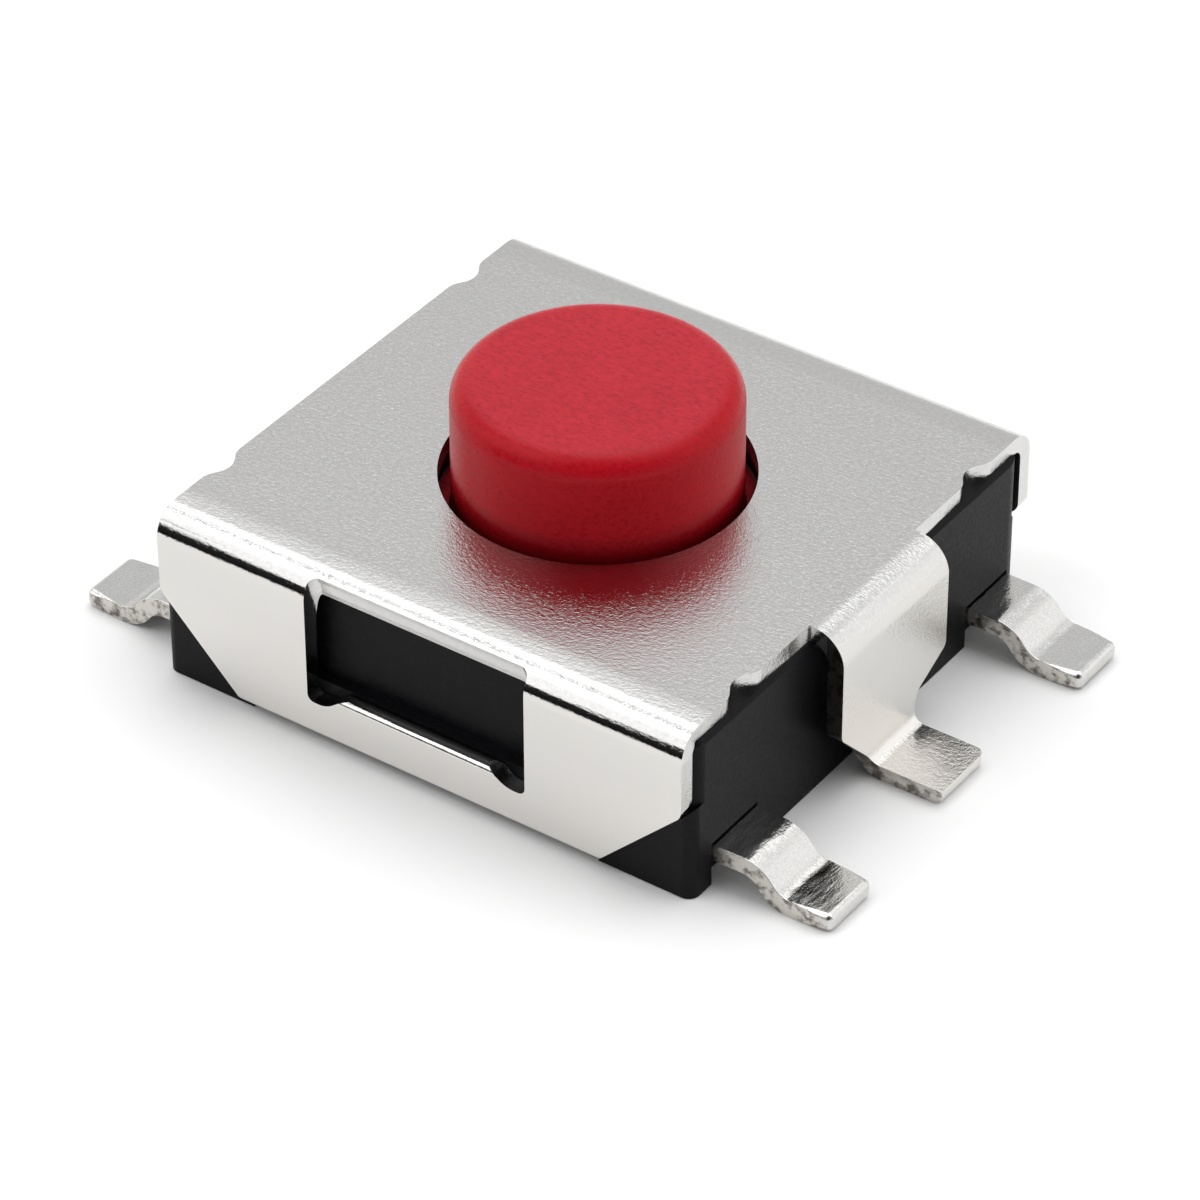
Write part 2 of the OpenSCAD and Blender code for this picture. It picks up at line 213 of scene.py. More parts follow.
class LeadSizes(bpy.types.PropertyGroup):
    """Sizes of the leads and of the contact strips between them"""

    thick: length("Thickness", "Thickness of the leads", 0.2)
    width: length("Width", "Width of the leads", 0.72)
    pitch: length("Pitch", "Distance between the lead centres", 4.5)
    shelf: length("Shelf height", "Height of the leads' flat shelf, at its underside", 0.28)
    shelf_end: length("Shelf end", "Distance of the first bend from the button's axis", 3.48)
    bend: length("Bend radius", "Inside radius of the lead bends", 0.22)
    drop: share("Ramp drop", "Drop of the ramp for each unit of its length", 0.8)
    arm: length("Arm width", "Width of the side arms that carry the dome", 0.5)
    pad: length("Pad diameter", "Diameter of the coined pads", 0.4)
    pad_angle: angle("Pad angle", "Angle of the pads round the dome's rim, from the X axis", 32)
    rim: length("Rim radius", "Distance of the pads from the button's axis", 1.89)
    tongue: length("Tongue width", "Width of the tongue under the dome's middle", 0.7)
    contact: length("Contact diameter", "Diameter of the middle contact", 0.6)
    edge: length("Edge rounding", "Rounding of the strip's edges", 0.03)
    corner: length("Foot corner", "Radius of the corners at a foot's end, seen from above", 0.08)
    tip: length("Foot tip", "Rounding of a foot's end, seen from the side", 0.07)


class ButtonSizes(bpy.types.PropertyGroup):
    """Sizes of the button"""

    diameter: length("Diameter", "Diameter of the button", 2.9)
    edge: length("Upper edge", "Radius of the button's upper edge", 0.26)
    flange_bottom: length("Flange bottom", "Height of the underside of the button's flange", 1.47)
    flange_top: length("Flange top", "Height of the top of the button's flange", 1.81)
    stem: length("Stem diameter", "Diameter of the stem that presses the dome", 1.3)
    groove: length("Groove width", "Width of the groove round the button's foot", 0.2)
    groove_depth: length("Groove depth", "Depth of that groove in the flange", 0.26)
    small_edge: length("Small edges", "Radius of the flange's and the stem's edges", 0.04)
    dome_sheet: length("Dome sheet", "Thickness of the snap dome's sheet", 0.06)
    dome_keep: share("Dome kept", "Share of the snap dome's height that is left at full travel", 0.26)


class Finishes(bpy.types.PropertyGroup):
    """Colours and surface qualities"""

    steel: colour("Cover", "Colour of the cover's rolled sheet", (0.65, 0.645, 0.635))
    # Painted light: a lighter, warmer copy of the steel for the flanges and the tab's face, standing for the
    # bright floor they reflect
    flank: colour("Flanges", "Colour of the cover's upright faces", (0.70, 0.682, 0.655))
    steel_rough: share("Cover roughness", "Roughness of the rolled sheet", 0.105)
    tin: colour("Leads", "Colour of the leads' bright plating", (0.68, 0.675, 0.66))
    tin_rough: share("Lead roughness", "Roughness of the plating", 0.13)
    red: colour("Button", "Colour of the button's moulding", (0.42, 0.005, 0.012))
    # Painted sheen: a paler red for the button's upward faces, standing for the light from above
    worn_red: colour("Button top", "Paler colour of the button's worn top", (0.44, 0.021, 0.033))
    red_rough: share("Button roughness", "Roughness of the button's moulding", 0.3)
    black: colour("Housing", "Colour of the housing's moulding", (0.005, 0.005, 0.006))
    black_rough: share("Housing roughness", "Roughness of the housing's moulding", 0.42)
    floor: colour("Floor", "Colour of the floor", (0.96, 0.96, 0.96))


class StageSettings(bpy.types.PropertyGroup):
    """Camera, floor and light"""

    azimuth: angle("Azimuth", "Direction from which the camera looks, round the Z axis from -Y", 35.19)
    elevation: angle("Elevation", "Height of the camera over the horizon", 37.06)
    roll: angle("Roll", "Turn of the camera round its own axis", -0.18)
    distance: length("Distance", "Distance of the camera from its target", 55.0)
    focal_pixels: bpy.props.FloatProperty(
        name="Focal length", description="Focal length in pixels of a frame 1200 wide", default=5603.0,
    )
    target: bpy.props.FloatVectorProperty(
        name="Target", description="Point that the camera looks at", default=(0.000482, -0.000654, 0.001),
        size=3, unit="LENGTH", subtype="XYZ",
    )
    floor_size: length("Floor size", "Side of the square floor", 100.0)
    light: bpy.props.FloatProperty(name="Light", description="Strength of the studio's light", default=1.2)


GROUPS = {
    "switch_cover": CoverSizes, "switch_tab": TabSizes, "switch_housing": HousingSizes,
    "switch_leads": LeadSizes, "switch_button": ButtonSizes, "switch_finish": Finishes,
    "switch_stage": StageSettings,
}


def in_mm(group):
    """The group's values, with every length in millimetres."""
    values = {}
    for name, prop in group.bl_rna.properties.items():
        if prop.is_readonly or name == "name":
            continue
        value = getattr(group, name)
        values[name] = value * MM if prop.unit == "LENGTH" and not prop.is_array else value
    return SimpleNamespace(**values)


def box_mm(low, high):
    """The corners of one of the frame's boxes, in millimetres."""
    return Vector(low) * MM, Vector(high) * MM


# Mesh tools: every piece is modelled in millimetres and scaled down when it is finished.

def verts_of(geometry):
    """The vertices among what a bmesh operator returned."""
    return [g for g in geometry if isinstance(g, bmesh.types.BMVert)]


def faces_of(geometry):
    """The faces among what a bmesh operator returned."""
    return [g for g in geometry if isinstance(g, bmesh.types.BMFace)]


def flat_face(bm, corners):
    """One face from a few corners; returns it with its corners in that order."""
    made = [bm.verts.new(c) for c in corners]
    return bm.faces.new(made), made


def round_verts(bm, verts, radius, segments):
    """Rounds the corners of a flat outline."""
    bmesh.ops.bevel(
        bm, geom=verts, offset=radius, offset_type="OFFSET", segments=segments,
        profile=0.5, affect="VERTICES", material=-1,
    )


def round_edges(bm, edges, radius, segments):
    """Rounds edges of a solid."""
    bmesh.ops.bevel(
        bm, geom=edges, offset=radius, offset_type="OFFSET", segments=segments,
        profile=0.5, affect="EDGES", material=-1,
    )


def drop_inner(bm, faces):
    """Deletes those of the faces that now lie inside the solid."""
    inner = [f for f in faces if f.is_valid and all(len(e.link_faces) > 2 for e in f.edges)]
    bmesh.ops.delete(bm, geom=inner, context="FACES_ONLY")


def pull(bm, faces, vector):
    """Extrudes faces along a vector and returns the faces at the far end."""
    made = bmesh.ops.extrude_face_region(bm, geom=faces)["geom"]
    bmesh.ops.translate(bm, vec=vector, verts=verts_of(made))
    drop_inner(bm, faces)
    return faces_of(made)


def bend(bm, faces, centre, axis, turn, steps):
    """Spins faces round an axis and returns the faces at the far end."""
    made = bmesh.ops.spin(bm, geom=faces, cent=centre, axis=axis, angle=turn, steps=steps)
    drop_inner(bm, faces)
    return faces_of(made["geom_last"])


def block(bm, low, high):
    """A box between two corners."""
    size = Vector(high) - Vector(low)
    middle = (Vector(high) + Vector(low)) / 2
    made = bmesh.ops.create_cube(bm, size=1.0)["verts"]
    bmesh.ops.scale(bm, vec=size, verts=made)
    bmesh.ops.translate(bm, vec=middle, verts=made)
    return made


def rod(bm, radius, low, high, segments=128):
    """An upright cylinder on the Z axis."""
    made = bmesh.ops.create_cone(
        bm, cap_ends=True, segments=segments, radius1=radius, radius2=radius, depth=high - low,
    )["verts"]
    bmesh.ops.translate(bm, vec=(0, 0, (low + high) / 2), verts=made)
    return made


def to_object(bm, name):
    """Makes an object in the scene from the bmesh, which is freed."""
    bmesh.ops.recalc_face_normals(bm, faces=bm.faces)
    mesh = bpy.data.meshes.new(name)
    bm.to_mesh(mesh)
    bm.free()
    made = bpy.data.objects.new(name, mesh)
    bpy.context.scene.collection.objects.link(made)
    return made


def apply_modifiers(piece):
    """Puts the result of the piece's modifiers into its mesh."""
    bpy.context.view_layer.update()
    evaluated = piece.evaluated_get(bpy.context.evaluated_depsgraph_get())
    mesh = bpy.data.meshes.new_from_object(evaluated)
    old = piece.data
    piece.modifiers.clear()
    piece.data = mesh
    mesh.name = piece.name
    bpy.data.meshes.remove(old)


def combine(piece, others, operation):
    """Exact booleans of the piece with each of the others, which are then removed."""
    for other in others:
        tool = piece.modifiers.new(operation, "BOOLEAN")
        tool.operation = operation
        tool.solver = "EXACT"
        tool.object = other
    apply_modifiers(piece)
    for other in others:
        mesh = other.data
        bpy.data.objects.remove(other)
        bpy.data.meshes.remove(mesh)


def tidy_mesh(piece, merge=1e-4, flat=0.3):
    """Merges doubles and joins faces that lie in one plane."""
    bm = bmesh.new()
    bm.from_mesh(piece.data)
    bmesh.ops.remove_doubles(bm, verts=bm.verts, dist=merge)
    bmesh.ops.dissolve_limit(
        bm, angle_limit=math.radians(flat), verts=bm.verts, edges=bm.edges, use_dissolve_boundaries=False,
    )
    bmesh.ops.recalc_face_normals(bm, faces=bm.faces)
    bm.to_mesh(piece.data)
    bm.free()


def level_normals(mesh, least_area=0.4 / MM ** 2):
    """Gives every corner on a large flat face that face's own normal."""
    flat = {}
    for face in mesh.polygons:
        if face.area > least_area:
            flat.update((vertex, face.normal.copy()) for vertex in face.vertices)
    mesh.normals_split_custom_set([
        flat.get(loop.vertex_index, corner.vector.copy())
        for loop, corner in zip(mesh.loops, mesh.corner_normals)
    ])


def soften(piece, radius, segments=3, sharp=30.0):
    """Rounds every sharp edge and evens the normals."""
    rounding = piece.modifiers.new("Rounded edges", "BEVEL")
    rounding.width = radius
    rounding.segments = segments
    rounding.limit_method = "ANGLE"
    rounding.angle_limit = math.radians(sharp)
    rounding.miter_outer = "MITER_ARC"
    rounding.use_clamp_overlap = True
    apply_modifiers(piece)
    piece.data.shade_smooth()
    normals = piece.modifiers.new("Even normals", "WEIGHTED_NORMAL")
    normals.keep_sharp = False
    normals.weight = 100
    apply_modifiers(piece)


def round_some(piece, wanted, radius, segments=5):
    """Rounds those edges of the piece whose two ends are both wanted."""
    bm = bmesh.new()
    bm.from_mesh(piece.data)
    edges = [e for e in bm.edges if all(wanted(v.co) for v in e.verts)]
    if not edges:
        raise RuntimeError(f"{piece.name} has no edge to round")
    round_edges(bm, edges, radius, segments)
    bm.to_mesh(piece.data)
    bm.free()


def lies_at(x=None, y=None, z=None):
    """Test for a point at these distances from the planes of symmetry; a missing one is free."""
    wanted = (x, y, z)
    return lambda point: all(
        value is None or abs(abs(part) - value) < TINY for part, value in zip(point, wanted)
    )


def hand_over(piece, material, body, slot, *nodes):
    """Scales the finished piece to metres, dresses it and puts it on its body."""
    piece.data.transform(Matrix.Scale(1 / MM, 4))
    if piece.data.has_custom_normals:
        level_normals(piece.data)
    piece.data.materials.clear()
    piece.data.materials.append(material)
    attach(piece, body)
    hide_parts(*nodes)


# Materials

def add_node(tree, kind, inputs=(), **settings):
    """A node with its settings; an input that is a socket is linked, and any other is set."""
    made = tree.nodes.new(kind)
    for name, value in settings.items():
        setattr(made, name, value)
    for name, value in dict(inputs).items():
        if isinstance(value, bpy.types.NodeSocket):
            tree.links.new(value, made.inputs[name])
        else:
            made.inputs[name].default_value = value
    return made


def start_material(name):
    """A material; returns it with its tree, shader, position in millimetres and normal."""
    material = bpy.data.materials.new(name)
    material.use_nodes = True
    tree = material.node_tree
    shader = tree.nodes["Principled BSDF"]
    place = add_node(tree, "ShaderNodeTexCoord")
    scaled = add_node(tree, "ShaderNodeMapping", {"Vector": place.outputs["Object"], "Scale": (MM, MM, MM)})
    return material, tree, shader, scaled.outputs["Vector"], place.outputs["Normal"]


def stretched(tree, vector, scale):
    """The position scaled by another amount along each axis."""
    return add_node(tree, "ShaderNodeMapping", {"Vector": vector, "Scale": scale}).outputs["Vector"]


def noise(tree, vector, scale, detail=2.0, rough=0.5):
    """Noise between 0 and 1, with so many cells to the millimetre."""
    return add_node(
        tree, "ShaderNodeTexNoise",
        {"Vector": vector, "Scale": scale, "Detail": detail, "Roughness": rough},
    ).outputs["Fac"]


def spread(tree, value, low, high, to_low=0.0, to_high=1.0):
    """Maps low..high to to_low..to_high, and holds it there."""
    return add_node(
        tree, "ShaderNodeMapRange",
        {"Value": value, "From Min": low, "From Max": high, "To Min": to_low, "To Max": to_high},
    ).outputs["Result"]


def mixed(tree, factor, first, second):
    """Colour between two colours."""
    made = add_node(tree, "ShaderNodeMix", data_type="RGBA")
    for socket, value in ((made.inputs[0], factor), (made.inputs[6], first), (made.inputs[7], second)):
        if isinstance(value, bpy.types.NodeSocket):
            tree.links.new(value, socket)
        else:
            socket.default_value = value
    return made.outputs[2]


def plus(tree, first, second, operation="ADD"):
    """Sum of two values, or what another operation makes of them."""
    return add_node(tree, "ShaderNodeMath", {0: first, 1: second}, operation=operation).outputs["Value"]


def times(tree, first, second):
    """Product of two values."""
    return plus(tree, first, second, "MULTIPLY")


def size_of(tree, value):
    """The value without its sign."""
    return plus(tree, value, 0.0, "ABSOLUTE")


def axes_of(tree, vector):
    """The outputs X, Y and Z of a vector."""
    return add_node(tree, "ShaderNodeSeparateXYZ", {"Vector": vector}).outputs


def relief(tree, height, distance, below=None):
    """A bump of the given height in metres, on top of another one."""
    made = add_node(tree, "ShaderNodeBump", {"Height": height, "Distance": distance, "Strength": 1.0})
    if below is not None:
        tree.links.new(below, made.inputs["Normal"])
    return made.outputs["Normal"]


def shade(colour_value, factor):
    """The colour made lighter or darker."""
    return tuple(c * factor for c in colour_value) + (1.0,)


def dulled(tree, mm, normal, bright, start_x, shade_z):
    """Mixes a dull, blotched grey-brown into the cut sides beyond start_x, with painted shade above shade_z.
    """
    blotches = noise(tree, mm, scale=8.0, detail=4.0, rough=0.65)
    facing = axes_of(tree, normal)
    side = spread(tree, size_of(tree, facing["Y"]), 0.75, 0.95)
    across = axes_of(tree, mm)
    side = times(tree, side, plus(tree, size_of(tree, across["X"]), start_x, "GREATER_THAN"))
    dull = mixed(tree, spread(tree, blotches, 0.38, 0.52), TARNISH, SCUFFED)
    # Painted shade: the cut side turns near black above shade_z
    above = spread(tree, across["Z"], shade_z - SIDE_FADE, shade_z, 0.0, 0.85)
    dull = mixed(tree, above, dull, SHADED)
    return side, mixed(tree, side, bright, dull)


def sheet_material(finish):
    """Rolled bright sheet: a crisp grain, flanks painted lighter and warmer for the bright floor they
    reflect, and dull cut sides on the tab with painted shade high up.
    """
    material, tree, shader, mm, normal = start_material("cover_sheet")
    lumps = noise(tree, stretched(tree, mm, (18.0, 24.0, 24.0)), scale=1.0, detail=3.0, rough=0.6)
    speckle = noise(tree, mm, scale=55.0, rough=0.6)
    clouds = noise(tree, mm, scale=0.8)
    grain = plus(tree, times(tree, lumps, 0.6), times(tree, speckle, 0.4))
    across = axes_of(tree, mm)
    from_axis = size_of(tree, across["Y"])

    tone = spread(tree, grain, 0.3, 0.7)
    bright = mixed(tree, tone, shade(finish.steel, 0.92), shade(finish.steel, 1.07))
    # Painted light: the flanks and the tab's face take the lighter steel, and lower down a lighter copy of it
    # still
    flank_part = spread(tree, from_axis, *FLANK_Y)
    upright = plus(tree, flank_part, spread(tree, across["X"], *TAB_FACE_X), "MAXIMUM")
    low = spread(tree, across["Z"], *LOW_FLANK_LIGHT_Z)
    flank = mixed(tree, low, shade(finish.flank, 1.0), shade(finish.flank, 1.1))
    bright = mixed(tree, upright, bright, flank)
    side, tint = dulled(tree, mm, normal, bright, *TAB_SIDE)
    tree.links.new(tint, shader.inputs["Base Color"])

    calm = spread(tree, from_axis, *CALM_Y, 1.0, 0.35)
    rough = plus(tree, grain, clouds)
    rough = spread(tree, rough, 0.6, 1.4, finish.steel_rough - 0.03, finish.steel_rough + 0.05)
    rough = times(tree, rough, calm)
    tree.links.new(plus(tree, rough, times(tree, side, 0.2)), shader.inputs["Roughness"])
    shader.inputs["Metallic"].default_value = 1.0

    sag = add_node(
        tree, "ShaderNodeMapRange",
        {"Value": from_axis, "From Min": SAG_Y[0], "From Max": SAG_Y[1], "To Min": 1.0, "To Max": 0.0},
        interpolation_type="SMOOTHSTEP",
    ).outputs["Result"]
    outside = plus(tree, from_axis, CREASE_Y, "GREATER_THAN")
    crease = times(tree, spread(tree, across["Z"], *CREASE_Z), outside)
    formed = relief(tree, crease, CREASE_DEPTH, below=relief(tree, sag, SAG_DEPTH))
    surface = relief(tree, times(tree, grain, calm), GRAIN_DEPTH, below=formed)
    tree.links.new(surface, shader.inputs["Normal"])
    return material


def plating_material(finish):
    """Bright tin plating: dimples and speckle, with dull grey-brown cut sides."""
    material, tree, shader, mm, normal = start_material("terminal_plating")
    dimples = noise(tree, stretched(tree, mm, (10.0, 3.5, 10.0)), scale=1.0, detail=3.0, rough=0.55)
    speckle = noise(tree, mm, scale=40.0, rough=0.6)
    tone = spread(tree, speckle, 0.3, 0.7)
    bright = mixed(tree, tone, shade(finish.tin, 0.9), shade(finish.tin, 1.05))
    side, tint = dulled(tree, mm, normal, bright, *LEAD_SIDE)
    tree.links.new(tint, shader.inputs["Base Color"])
    rough = spread(tree, dimples, 0.3, 0.7, finish.tin_rough - 0.03, finish.tin_rough + 0.06)
    tree.links.new(plus(tree, rough, times(tree, side, 0.2)), shader.inputs["Roughness"])
    shader.inputs["Metallic"].default_value = 1.0
    height = plus(tree, dimples, times(tree, speckle, 0.2))
    tree.links.new(relief(tree, height, DIMPLE_DEPTH), shader.inputs["Normal"])
    return material


def moulded_material(name, base, roughness, *, grain_scale, depth, light, gloss, foot=None, painted_sheen=None):
    """Matte moulded plastic with a fine texture, with painted shade towards its foot and a painted sheen, a
    paler colour, on its upward faces.
    """
    material, tree, shader, mm, normal = start_material(name)
    cells = stretched(tree, mm, (0.6 * grain_scale, grain_scale, grain_scale))
    grain = noise(tree, cells, scale=1.0, rough=0.6)
    clouds = noise(tree, mm, scale=1.1)
    tone = spread(tree, plus(tree, grain, times(tree, clouds, 0.4)), 0.5, 0.9)
    tint = mixed(tree, tone, shade(base, 0.92), shade(base, light))
    # Painted shade: the button darkens towards its foot, under the plate
    if foot:
        height = axes_of(tree, mm)["Z"]
        tint = mixed(tree, spread(tree, height, *foot), shade(base, 0.06), tint)
    # Painted sheen: faces that look up turn paler, for the light from above
    if painted_sheen:
        facing = axes_of(tree, normal)["Z"]
        pale = mixed(tree, tone, shade(painted_sheen, 0.86), shade(painted_sheen, light))
        tint = mixed(tree, spread(tree, facing, 0.85, 1.0), tint, pale)
    tree.links.new(tint, shader.inputs["Base Color"])
    rough = spread(tree, grain, 0.3, 0.7, roughness - 0.05, roughness + 0.08)
    tree.links.new(rough, shader.inputs["Roughness"])
    tree.links.new(relief(tree, grain, depth), shader.inputs["Normal"])
    shader.inputs["Specular IOR Level"].default_value = gloss
    return material


def floor_material(finish):
    """Plain pale floor with a hardly visible mottle."""
    material, tree, shader, mm, _ = start_material("pale_floor")
    mottle = noise(tree, mm, scale=0.05)
    tint = mixed(tree, mottle, shade(finish.floor, 0.995), shade(finish.floor, 1.005))
    tree.links.new(tint, shader.inputs["Base Color"])
    shader.inputs["Roughness"].default_value = 0.9
    shader.inputs["Specular IOR Level"].default_value = 0.1
    return material


# Pieces

def folded_sheet(c):
    """The channel with its ground tab, before anything is cut."""
    low, high = box_mm(COVER_LOW, COVER_HIGH)
    half_x, half_y, top = -low.x, high.y, high.z
    t = in_mm(bpy.context.scene.switch_tab)
    bm = bmesh.new()
    under, inner = top - c.sheet, half_y - c.sheet
    _, corners = flat_face(bm, [
        (-half_x, -half_y, c.flange_bottom), (-half_x, -half_y, top), (-half_x, half_y, top),
        (-half_x, half_y, c.flange_bottom), (-half_x, inner, c.flange_bottom), (-half_x, inner, under),
        (-half_x, -inner, under), (-half_x, -inner, c.flange_bottom),
    ])
    round_verts(bm, [corners[1], corners[2]], c.bend + c.sheet, segments=18)
    round_verts(bm, [corners[5], corners[6]], c.bend, segments=18)
    pull(bm, list(bm.faces), (2 * half_x, 0, 0))
    half_tab = t.width / 2
    for side in (-half_tab, half_tab):
        bmesh.ops.bisect_plane(
            bm, geom=bm.verts[:] + bm.edges[:] + bm.faces[:], plane_co=(0, side, 0), plane_no=(0, 1, 0),
        )
    bmesh.ops.recalc_face_normals(bm, faces=bm.faces)
    root = [
        f for f in bm.faces
        if f.normal.x > 0.9 and abs(f.calc_center_median().y) < half_tab / 2
    ]
    bend_x = t.face - c.sheet - t.bend
    bend_z = under - t.bend
    foot_bend_x = t.face + t.foot_bend
    foot_bend_z = c.sheet + t.foot_bend
    end = pull(bm, root, (bend_x - half_x, 0, 0))
    end = bend(bm, end, (bend_x, 0, bend_z), (0, 1, 0), math.radians(90), steps=14)
    end = pull(bm, end, (0, 0, foot_bend_z - bend_z))
    end = bend(bm, end, (foot_bend_x, 0, foot_bend_z), (0, 1, 0), math.radians(-90), steps=12)
    pull(bm, end, (high.x - foot_bend_x, 0, 0))
    return to_object(bm, "folded_cover")


def tab_cutter(t, c, end_x, side):
    """Cutter for one side of the tab, which narrows down to the width of its foot."""
    bm = bmesh.new()
    start = t.face - 2 * c.sheet
    half_tab, half_foot = t.width / 2, t.foot_width / 2
    far = half_tab + c.sheet
    end_z = t.narrow_front if side < 0 else t.narrow_back
    _, corners = flat_face(bm, [(start, side * y, z) for y, z in (
        (half_tab, t.narrow), (half_foot, end_z), (half_foot, -c.sheet), (far, -c.sheet), (far, t.narrow),
    )])
    round_verts(bm, [corners[1]], t.foot_bend, segments=8)
    pull(bm, list(bm.faces), (end_x - start + c.sheet, 0, 0))
    return to_object(bm, "tab_side")


def window_cutter(c, half_y, top, side):
    """Cutters for one window: a block with a slanted head and two dips."""
    bend_y = half_y - c.bend - c.sheet
    bend_z = top - c.bend - c.sheet
    out_y = bend_y + (c.bend + c.sheet) * math.sin(c.head)
    out_z = bend_z + (c.bend + c.sheet) * math.cos(c.head)
    in_y = bend_y + c.bend * math.sin(c.head_in)
    in_z = bend_z + c.bend * math.cos(c.head_in)
    slope = (out_z - in_z) / (out_y - in_y)
    far_y = half_y + c.sheet
    far_z = out_z + slope * (far_y - out_y)
    near_z = in_z + slope * (bend_y - in_y)
    half_w = c.window / 2
    bm = bmesh.new()
    section, _ = flat_face(bm, [(-half_w, side * y, z) for y, z in (
        (far_y, c.sill), (far_y, far_z), (bend_y, near_z), (bend_y, c.sill),
    )])
    pull(bm, [section], (c.window, 0, 0))
    slanted = [
        e for e in bm.edges
        if abs(e.verts[0].co.x - e.verts[1].co.x) < TINY and min(v.co.z for v in e.verts) > near_z - TINY
    ]
    round_edges(bm, slanted, c.corner, segments=10)
    cutters = [to_object(bm, "window")]
    dip_start = half_w - c.dip
    for end in (-1, 1):
        bm = bmesh.new()
        face, _ = flat_face(bm, [(end * x, side * bend_y, z) for x, z in (
            (dip_start, c.sill), (dip_start + c.dip_slope, c.sill - c.dip_depth),
            (half_w, c.sill - c.dip_depth), (half_w, c.sill + c.sheet), (dip_start, c.sill + c.sheet),
        )])
        pull(bm, [face], (0, side * (far_y - bend_y), 0))
        cutters.append(to_object(bm, "dip"))
    return cutters


def notch_cutter(c, half_x, top, x_side, y_side):
    """Cutter for one carrier notch in the plate's end."""
    bm = bmesh.new()
    face, _ = flat_face(bm, [(x_side * (half_x + x), y_side * c.notch_y + y, top - 2 * c.sheet) for x, y in (
        (c.sheet, -c.notch_mouth / 2), (0, -c.notch_mouth / 2), (-c.notch_depth, -c.notch_bottom / 2),
        (-c.notch_depth, c.notch_bottom / 2), (0, c.notch_mouth / 2), (c.sheet, c.notch_mouth / 2),
    )])
    pull(bm, [face], (0, 0, 3 * c.sheet))
    return to_object(bm, "notch")


def bevel_cutter(c, half_x, half_y, x_side):
    """Cutter for the lower corners of both flanges at one end."""
    bm = bmesh.new()
    depth = half_y + c.sheet
    face, _ = flat_face(bm, [(x_side * (half_x + x), -depth, c.flange_bottom + z) for x, z in (
        (-c.bevel - c.sheet, -c.sheet), (c.sheet, -c.sheet), (c.sheet, c.bevel + c.sheet),
    )])
    pull(bm, [face], (0, 2 * depth, 0))
    hollow = bmesh.new()
    inner_y = half_y - 2 * c.sheet
    block(hollow, (-2 * half_x, -inner_y, -REACH), (2 * half_x, inner_y, 2 * half_y))
    cutter = to_object(bm, "bevel")
    combine(cutter, [to_object(hollow, "bevel_hollow")], "DIFFERENCE")
    return cutter


class SWITCH_OT_cover(bpy.types.Operator):
    """Builds the folded cover with its hole, windows, notches, bevels and ground tab"""

    bl_idname = "switch.build_cover"
    bl_label = "Build cover"

    def execute(self, context):
        c = in_mm(context.scene.switch_cover)
        t = in_mm(context.scene.switch_tab)
        low, high = box_mm(COVER_LOW, COVER_HIGH)
        half_x, half_y, top = -low.x, high.y, high.z
        piece = folded_sheet(c)
        bm = bmesh.new()
        rod(bm, c.hole / 2, top - 2 * c.sheet, top + c.sheet, segments=160)
        cutters = [to_object(bm, "hole")]
        for side in (-1, 1):
            cutters += window_cutter(c, half_y, top, side)
            cutters.append(bevel_cutter(c, half_x, half_y, side))
            cutters.append(tab_cutter(t, c, high.x, side))
            cutters += [notch_cutter(c, half_x, top, side, end) for end in (-1, 1)]
        combine(piece, cutters, "DIFFERENCE")
        tidy_mesh(piece)
        for x, z in ((half_x, c.flange_bottom + c.bevel), (half_x - c.bevel, c.flange_bottom)):
            round_some(piece, lies_at(x, None, z), c.bevel_round)
        for distance, depth in ((c.notch_mouth / 2, 0), (c.notch_bottom / 2, c.notch_depth)):
            for end in (-1, 1):
                round_some(piece, lies_at(half_x - depth, c.notch_y + end * distance), c.notch_round)
        dip_x = c.window / 2 - c.dip
        dip_z = c.sill - c.dip_depth
        for x, z in ((dip_x, c.sill), (dip_x + c.dip_slope, dip_z), (c.window / 2, dip_z)):
            round_some(piece, lies_at(x, None, z), c.dip_round)
        round_some(piece, lies_at(None, t.width / 2, t.narrow), t.narrow_round)
        round_some(piece, lies_at(high.x, t.foot_width / 2), t.corner, segments=8)
        soften(piece, c.edge)
        hand_over(piece, sheet_material(context.scene.switch_finish), "base", "cover_sheet", "cover")
        return {"FINISHED"}


def round_prism(half_x, half_y, low_z, high_z, front_radius, back_radius, name):
    """Upright block with round corners."""
    bm = bmesh.new()
    block(bm, (-half_x, -half_y, low_z), (half_x, half_y, high_z))
    for side, radius in ((-1, front_radius), (1, back_radius)):
        uprights = [
            e for e in bm.edges
            if abs(e.verts[0].co.z - e.verts[1].co.z) > (high_z - low_z) / 2 and e.verts[0].co.y * side > 0
        ]
        round_edges(bm, uprights, radius, segments=10)
    return to_object(bm, name)


def along_y(half_y, outline, name):
    """Prism along Y with the given outline of X and Z."""
    bm = bmesh.new()
    face, _ = flat_face(bm, [(x, -half_y, z) for x, z in outline])
    pull(bm, [face], (0, 2 * half_y, 0))
    return to_object(bm, name)


